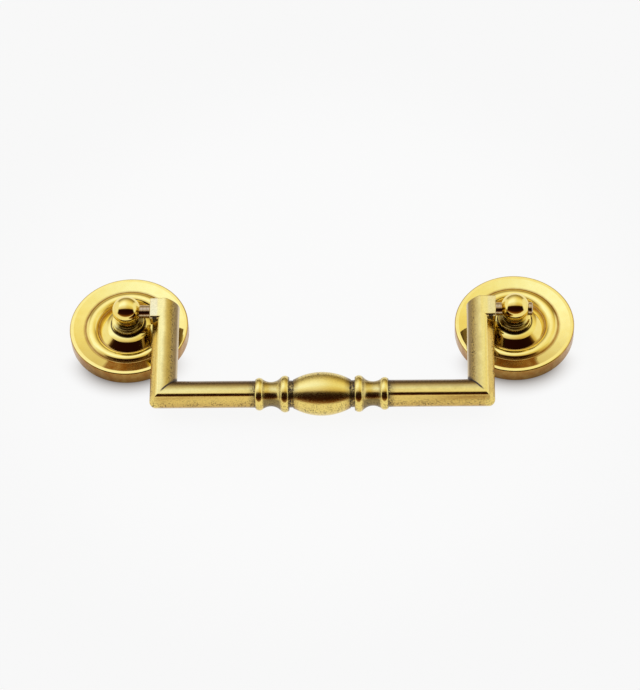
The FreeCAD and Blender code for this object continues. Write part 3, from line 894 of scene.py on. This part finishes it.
@dataclass
class Bail:
    """Ridged bar with mitred corners, a turned baluster and a lug at each arm's end. Sizes in millimetres."""

    arm_reach: float = 38.75
    drop: float = 22.7
    arm_end: float = 2.3
    bar_radius: float = 3.3
    ridge_angle: float = 27.0
    upper_flat_turn: float = 8.0
    outer_flat_turn: float = 60.0
    ridge_radius: float = 1.25
    end_slant: float = 1.1
    lug_front: float = 3.2
    lug_round: float = 0.7
    lug_proud: float = 0.55
    lug_start: float = 0.8
    crease_angle: float = 17.0
    end_edge: float = 0.3
    pin_hole_radius: float = 1.62
    pin_hole_depth: float = 3.8
    bead_half_length: float = 7.0
    bead_middle: float = 5.35
    bead_end: float = 3.5
    quirk_width: float = 1.0
    quirk_radius: float = 3.3
    inner_collar_width: float = 2.0
    inner_collar_radius: float = 4.5
    neck_length: float = 4.3
    neck_radius: float = 3.0
    outer_collar_width: float = 1.9
    outer_collar_radius: float = 4.0
    collar_crown: float = 0.45
    bar_tuck: float = 0.6
    ease: float = 0.1
    facets: int = 128

    def on_round(self, centre: Point, radius: float, degrees: float) -> Point:
        """Point of the section on a circle, at a turn from straight up towards the outside."""
        turn = math.radians(degrees)
        return (centre[0] + radius * math.sin(turn), centre[1] + radius * math.cos(turn))

    def crest(self) -> Vector:
        """Place, outward and upward from the bar's middle, where the two flats would meet if left sharp."""
        reach = self.bar_radius / math.cos(math.radians(self.ridge_angle - self.upper_flat_turn))
        return Vector(self.on_round((0.0, 0.0), reach, self.ridge_angle))

    def ridge_middle(self) -> Point:
        """Middle of the small arc that joins the two flats."""
        half_turn = (self.outer_flat_turn - self.upper_flat_turn) / 2
        inward = self.ridge_radius / math.cos(math.radians(half_turn))
        middle = self.crest() - Vector(self.on_round((0.0, 0.0), inward, self.upper_flat_turn + half_turn))
        return (middle.x, middle.y)

    def section(self) -> tuple[list[Point], list[Point]]:
        """Works out the bar's section: outward and upward from its middle.

        Returns:
            The outer part, which turns round the corners, and the inner part, which is mitred there.
        """
        middle, ridge = (0.0, 0.0), self.ridge_middle()
        first, last = self.upper_flat_turn, self.outer_flat_turn
        ridge_out = self.on_round(ridge, self.ridge_radius, last)
        under = 180 - math.degrees(math.asin(ridge_out[0] / self.bar_radius))
        flat_depth = self.crest().dot(Vector(self.on_round(middle, 1.0, last)))
        flat_end = last + math.degrees(math.acos(flat_depth / self.bar_radius))
        low = between(flat_end, under, 36)
        back = between(under, 180, 14)[:-1] + between(180, 360, 54)[:-1] + between(360, 360 + first, 2)
        crown = between(first, last, 16)
        outer = [ridge_out] + [self.on_round(middle, self.bar_radius, turn) for turn in low]
        inner = [self.on_round(middle, self.bar_radius, turn) for turn in back]
        inner += [self.on_round(ridge, self.ridge_radius, turn) for turn in crown]
        return outer, inner

    def build_half(self) -> Object:
        """Models the right arm, its corner and the right half of the bar, closed at both ends."""
        outer, inner = self.section()
        corner = outer[0][0]
        neck_end = self.bead_half_length + self.quirk_width + self.inner_collar_width + self.neck_length
        bar_start = neck_end + self.bar_tuck
        past = 2 * self.bar_radius

        places = [Vector((self.arm_reach + u, self.arm_end, w)) for u, w in outer]
        turned_side = draw_chain("bail_half", places)
        along_arm = Vector((0, -(self.drop + corner + self.arm_end), 0))
        bpy.ops.mesh.extrude_region_move(TRANSFORM_OT_translate={"value": along_arm})
        turn_axis = (self.arm_reach + corner, -(self.drop + corner), 0)
        bpy.ops.mesh.spin(steps=14, angle=math.pi / 2, center=turn_axis, axis=(0, 0, 1))
        along_bar = Vector((bar_start - self.arm_reach - corner, 0, 0))
        bpy.ops.mesh.extrude_region_move(TRANSFORM_OT_translate={"value": along_bar})
        switch_to("OBJECT")

        mitre = {"plane_co": (self.arm_reach, -self.drop, 0), "plane_no": (1, 1, 0)}
        arm_side = draw_chain("arm_side", [Vector((self.arm_reach + u, self.end_at(u), w)) for u, w in inner])
        along_arm = Vector((0, -(self.drop + past + self.arm_end), 0))
        bpy.ops.mesh.extrude_region_move(TRANSFORM_OT_translate={"value": along_arm})
        bpy.ops.mesh.select_all(action="SELECT")
        bpy.ops.mesh.bisect(clear_inner=True, **mitre)
        switch_to("OBJECT")

        bar_side = draw_chain("bar_side", [Vector((bar_start, -(self.drop + u), w)) for u, w in inner])
        along_bar = Vector((self.arm_reach + past - bar_start, 0, 0))
        bpy.ops.mesh.extrude_region_move(TRANSFORM_OT_translate={"value": along_bar})
        bpy.ops.mesh.select_all(action="SELECT")
        bpy.ops.mesh.bisect(clear_outer=True, **mitre)
        switch_to("OBJECT")

        for strip in (turned_side, arm_side, bar_side):
            strip.select_set(True)
        bpy.context.view_layer.objects.active = turned_side
        bpy.ops.object.join()
        switch_to("EDIT")
        bpy.ops.mesh.select_all(action="SELECT")
        bpy.ops.mesh.remove_doubles(threshold=WELD)
        self.fill_ring(turned_side, self.on_end)
        self.fold_end(turned_side)
        self.fill_ring(turned_side, lambda v: v.x < bar_start + NEAR)
        close_mesh()
        return turned_side

    def fill_ring(self, piece: Object, wanted: Callable[[Vector], bool]) -> None:
        """Fills the open ring whose vertices pass a test, and leaves its edges selected.

        Args:
            piece: the mesh in edit mode.
            wanted: a test of a vertex's place.
        """
        switch_to("OBJECT")
        clear_selection(piece)
        for vertex in piece.data.vertices:
            vertex.select = wanted(vertex.co)
        switch_to("EDIT")
        bpy.ops.mesh.edge_face_add()

    def end_at(self, out: float) -> float:
        """How far up the arm its end lies, at a distance outward from the arm's middle."""
        return self.arm_end - self.end_slant * max(-out, 0.0) / self.bar_radius

    def on_end(self, place: Vector) -> bool:
        """Whether a place lies on the right arm's end."""
        return place.y > self.end_at(place.x - self.arm_reach) - NEAR

    def fold_end(self, piece: Object) -> None:
        """Folds the face of the right arm's end along its middle, and eases its edges.

        Args:
            piece: the half bail in edit mode.
        """
        switch_to("OBJECT")
        clear_selection(piece)
        ring = [v for v in piece.data.vertices if self.on_end(v.co)]
        fold = [min((v for v in ring if v.co.z * side > 0), key=lambda v: abs(v.co.x - self.arm_reach))
                for side in (1, -1)]
        for vertex in fold:
            vertex.select = True
        switch_to("EDIT")
        bpy.ops.mesh.vert_connect()
        switch_to("OBJECT")
        clear_selection(piece)
        middle = {abs(v.co.z) for v in fold}
        for edge in piece.data.edges:
            ends = [piece.data.vertices[i].co for i in edge.vertices]
            across = (ends[0] - ends[1]).length > min(middle)
            edge.select = all(self.on_end(e) for e in ends) and not across
        self.ease_picked_edges()

    def ease_picked_edges(self) -> None:
        """Bevels the picked edges, in edge mode so that edges between them aren't picked too."""
        settings = bpy.context.tool_settings
        settings.mesh_select_mode = (False, True, False)
        switch_to("EDIT")
        bpy.ops.mesh.bevel(offset=self.end_edge, segments=4, affect="EDGES")
        settings.mesh_select_mode = (True, False, False)

    def build_lug(self) -> Object:
        """Models the lug on the right arm's end: flat on top, round in front and underneath."""
        top = self.on_round(self.ridge_middle(), self.ridge_radius, self.upper_flat_turn)[1]
        face = self.arm_reach + self.bar_radius + self.lug_proud
        radius = (self.arm_end + self.lug_front) / 2
        flank = Outline((self.lug_round - self.lug_front, top))
        flank.arc_to((-self.lug_front, top - self.lug_round), self.lug_round, Bend.HUMP, steps=16)
        flank.line_to((-self.lug_front, 0.0))
        flank.arc_to((self.arm_end, 0.0), radius, Bend.HUMP, steps=32)
        flank.line_to((self.arm_end, top))
        start = self.arm_reach + self.lug_start
        lug = draw_chain("lug", [Vector((start, y, z)) for y, z in flank.points])
        bpy.ops.mesh.edge_face_add()
        bpy.ops.mesh.extrude_region_move(TRANSFORM_OT_translate={"value": (face - start, 0, 0)})
        close_mesh()
        clear_selection(lug)
        for edge in lug.data.edges:
            ends = [lug.data.vertices[i].co for i in edge.vertices]
            at_end = all(e.y > self.arm_end - NEAR for e in ends) and any(e.x > face - NEAR for e in ends)
            edge.select = all(e.x > face - NEAR for e in ends) or at_end
        self.ease_picked_edges()
        close_mesh()
        return lug

    def baluster_profile(self) -> list[Point]:
        """Works out the turned middle of the bar, from its left end to its right."""
        quirk = self.bead_half_length + self.quirk_width
        collar = quirk + self.inner_collar_width
        reach = collar + self.neck_length
        end = reach + self.outer_collar_width
        inner_edge = self.inner_collar_radius - self.collar_crown
        outer_edge = self.outer_collar_radius - self.collar_crown
        inner_crown = radius_from_rise(self.inner_collar_width, self.collar_crown)
        outer_crown = radius_from_rise(self.outer_collar_width, self.collar_crown)
        bead_round = radius_from_rise(2 * self.bead_half_length, self.bead_middle - self.bead_end)
        sag = (inner_edge + outer_edge) / 2 - self.neck_radius
        neck_round = radius_from_rise(math.hypot(self.neck_length, inner_edge - outer_edge), sag)
        outline = Outline((end, 0.0))
        outline.line_to((end, outer_edge))
        outline.arc_to((reach, outer_edge), outer_crown, Bend.HUMP, steps=14)
        outline.arc_to((collar, inner_edge), neck_round, Bend.HOLLOW, steps=18)
        outline.arc_to((quirk, inner_edge), inner_crown, Bend.HUMP, steps=14)
        outline.line_to((quirk, self.quirk_radius), (self.bead_half_length, self.quirk_radius))
        outline.line_to((self.bead_half_length, self.bead_end))
        outline.arc_to((-self.bead_half_length, self.bead_end), bead_round, Bend.HUMP, steps=44)
        half = outline.eased(self.ease)
        half = [(along, radius) for along, radius in half if along > 0]
        whole = half + [(0.0, self.bead_middle)] + [(-along, radius) for along, radius in reversed(half)]
        return [(radius, along) for along, radius in whole]

    def build(self, finish: Material, pivot: Vector, shift: float, dip: float) -> Object:
        """Models the whole bail lying flat, then turns it to its rest and dresses it.

        Args:
            finish: the brass that it is cast in.
            pivot: the hinge's place in millimetres.
            shift: how far the bail stands to the right in its end play.
            dip: the angle in degrees by which it hangs below level.

        Returns:
            The bail.
        """
        half = self.build_half()
        combine(half, self.build_lug(), "UNION")
        face = self.arm_reach + self.bar_radius + self.lug_proud
        bpy.ops.object.select_all(action="DESELECT")
        bpy.ops.mesh.primitive_cylinder_add(
            vertices=64, radius=self.pin_hole_radius, depth=2 * self.pin_hole_depth,
            location=(face, 0, 0), rotation=(0, math.pi / 2, 0))
        combine(half, bpy.context.object, "DIFFERENCE")
        twin = copy_piece(half, "bail_left_half")
        pick(twin)
        switch_to("EDIT")
        bpy.ops.mesh.select_all(action="SELECT")
        bpy.ops.transform.resize(value=(-1, 1, 1), center_override=(0, 0, 0))
        close_mesh()
        baluster = turn_profile("bail_cast", self.baluster_profile(), self.facets, ACROSS, Vector((0, 1, 0)))
        switch_to("EDIT")
        bpy.ops.mesh.select_all(action="SELECT")
        bpy.ops.transform.translate(value=(0, -self.drop, 0))
        switch_to("OBJECT")
        combine(baluster, half, "UNION")
        combine(baluster, twin, "UNION")
        turn = Matrix.Rotation(math.radians(dip), 4, "X")
        place = Matrix.Translation((pivot.x + shift, pivot.y, pivot.z)) @ turn
        settle(baluster, place, self.crease_angle)
        dress(baluster, finish, "swing", "bail")
        return baluster


@dataclass
class Studio:
    """White table, light dome and camera of the picture. Distances in millimetres, angles in degrees."""

    azimuth: float = 3.538
    elevation: float = 53.962
    roll: float = 3.296
    distance: float = 667.25
    focal_pixels: float = 2698.3
    aim: tuple[float, float, float] = (-0.174, -6.547, 4.0)
    long_side_pixels: int = 690
    near_clip: float = 0.01
    table_size: float = 12.0
    table_colour: str = "#4A4A48"
    table_glow: float = 0.895
    # A faint painted pool of light round the middle.
    painted_pool_gain: float = 0.02
    painted_pool_edge: Span = (100.0, 55.0)
    # Painted shadow close in front of each rosette.
    painted_shadow_depth: float = 0.98
    painted_shadow_tint: str = "#F2E8E0"
    painted_shadow_reach: float = 6.0
    painted_shadow_tuck: float = 1.0
    painted_shadow_fall: float = 2.2
    painted_shadow_front: Span = (-0.35, -0.95)
    dome_level: float = 2.2
    dome_colours: dict[float, str] = field(default_factory=lambda: {
        0.00: "#7A5A34", 0.06: "#4A2A14", 0.12: "#1C0905", 0.28: "#130403", 0.34: "#180906", 0.37: "#422E22",
        0.40: "#9E9791", 0.50: "#B2B6C0", 0.58: "#BCCBF8", 0.67: "#BFC9EC", 0.74: "#B8BDCC",
        0.82: "#9F9C99", 0.89: "#7E7871", 1.00: "#716960"})
    warm_side: str = "#EFE1AD"
    warm_edge: Span = (-0.3, 0.4)
    card_colour: str = "#B2B4BA"
    card_edge: Span = (0.78, 0.90)
    card_lean: float = 0.25

    def set_camera(self) -> None:
        """Stands the camera where the picture was taken from."""
        around, up_angle, lean = (math.radians(a) for a in (self.azimuth, self.elevation, self.roll))
        back = Vector((math.sin(around) * math.cos(up_angle), -math.cos(around) * math.cos(up_angle),
                       math.sin(up_angle)))
        right = Vector((math.cos(around), math.sin(around), 0))
        up = back.cross(right)
        level_right = right * math.cos(lean) - up * math.sin(lean)
        level_up = right * math.sin(lean) + up * math.cos(lean)
        lens = bpy.data.cameras.new("camera")
        camera = bpy.data.objects.new("camera", lens)
        bpy.context.scene.collection.objects.link(camera)
        lens.lens = self.focal_pixels / self.long_side_pixels * lens.sensor_width
        lens.clip_start = self.near_clip
        turn = Matrix((level_right, level_up, back)).transposed().to_4x4()
        camera.matrix_world = Matrix.Translation((Vector(self.aim) + back * self.distance) * MM) @ turn
        bpy.context.scene.camera = camera

    def lay_floor(self, rosette: Rosette) -> None:
        """Lays the white table that the pull lies on, which glows less close in front of each rosette as a
        painted shadow, and a little more round the middle as a painted pool of light.

        Args:
            rosette: the shape whose painted shadow lies on the table.
        """
        bpy.ops.object.select_all(action="DESELECT")
        bpy.ops.mesh.primitive_plane_add(size=self.table_size)
        floor = bpy.context.object
        floor.name = "table"
        finish, add = new_finish("white_table")
        finish.node_tree.nodes.clear()
        about = AboutPosts(add, rosette.place)
        # Painted shadow: the glow drops close in front of each rosette, with a warm tint.
        edge = span(rosette.radius + self.painted_shadow_reach, rosette.radius - self.painted_shadow_tuck)
        near = add("MapRange", {"Value": about.radius, **edge})
        fading = add("Math POWER", [near, self.painted_shadow_fall])
        in_front = add("MapRange", {"Value": about.facing, **span(*self.painted_shadow_front)},
                       interpolation_type="SMOOTHSTEP")
        painted_shadow = add("Math MULTIPLY", [fading, in_front])
        level = add("Math MULTIPLY_ADD", [painted_shadow, -self.painted_shadow_depth, 1.0])
        # Painted pool of light: the glow rises a little towards the middle.
        from_middle = add("VectorMath LENGTH", [about.place])
        glow_range = span(*self.painted_pool_edge, self.table_glow, self.table_glow + self.painted_pool_gain)
        painted_pool = add("MapRange", {"Value": from_middle, **glow_range}, interpolation_type="SMOOTHSTEP")
        path = add("LightPath", {})
        seen = 0.0
        for ray in ("Is Camera Ray", "Is Glossy Ray", "Is Transmission Ray"):
            seen = add("Math MAXIMUM", [seen, path.outputs[ray]])
        for share in (painted_pool, seen):
            level = add("Math MULTIPLY", [level, share])
        matt = add("BsdfDiffuse", {"Color": linear(self.table_colour)})
        warmth = layered(add, linear(WHITE), [(painted_shadow, self.painted_shadow_tint)])
        glow = add("Emission", {"Color": warmth, "Strength": level})
        add("OutputMaterial", {"Surface": add("AddShader", {0: matt, 1: glow})})
        floor.data.materials.append(finish)

    def light_dome(self) -> None:
        """Lights the pull by a dome: bright above and behind, brown dusk in front, white cards beside."""
        world = bpy.data.worlds.new("studio_dome")
        bpy.context.scene.world = world
        world.use_nodes = True
        world.node_tree.nodes.clear()
        add = partial(add_node, world.node_tree)
        sky = add("TexCoord", {})
        x, y, z = add("SeparateXYZ", {0: sky.outputs["Generated"]}).outputs
        front = add("Math MULTIPLY", [y, -1.0])
        height = add("Math ABSOLUTE", [z])
        lift = add("Math ARCTAN2", [height, front])
        share = add("Math DIVIDE", [lift, math.pi])
        over = add("ValToRGB", {0: share}, self.dome_colours)
        right = add("MapRange", {"Value": x, **span(*self.warm_edge)}, interpolation_type="SMOOTHSTEP")
        warmth = layered(add, linear(WHITE), [(right, self.warm_side)])
        tinted = add("VectorMath MULTIPLY", [over, warmth])
        beside = add("Math ABSOLUTE", [x])
        aside = add("Math MULTIPLY_ADD", [y, self.card_lean, beside])
        cards = add("MapRange", {"Value": aside, **span(*self.card_edge)}, interpolation_type="SMOOTHSTEP")
        level = layered(add, tinted, [(cards, self.card_colour)])
        glow = add("Background", {"Color": level, "Strength": self.dome_level})
        add("OutputWorld", {"Surface": glow})

    def build(self, rosette: Rosette) -> None:
        """Sets the camera, the table and the light.

        Args:
            rosette: the shape whose painted shadow lies on the table.
        """
        bpy.context.scene.view_settings.view_transform = "Standard"
        self.set_camera()
        self.lay_floor(rosette)
        self.light_dome()


def main() -> None:
    """Builds the pull piece by piece, and reports each."""
    logging.basicConfig(level=logging.INFO, format="%(name)s: %(message)s")
    joint = frame["joints"][0]
    pivot = Vector(joint["pos_m"]) / MM
    bright = PolishedBrass().material()
    steel = PinSteel().material()
    low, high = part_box("bail")
    shift = (low.x + high.x) / 2 / MM
    rosette = Rosette()
    pieces = rosette.build(bright)
    pieces += Post().build(bright, pivot.z)
    pieces += Pin().build(steel, pivot.z)
    bail = Bail()
    dip = math.degrees(math.asin((pivot.z - bail.bead_middle - low.z / MM) / bail.drop))
    antique = AntiqueBrass(pivot.z, shift, dip, bail.arm_reach, bail.drop).material()
    pieces.append(bail.build(antique, pivot, shift, dip))
    for piece in pieces:
        LOG.info("%s: %d faces", piece.name, len(piece.data.polygons))
    Studio().build(rosette)


if __name__ == "__main__":
    main()
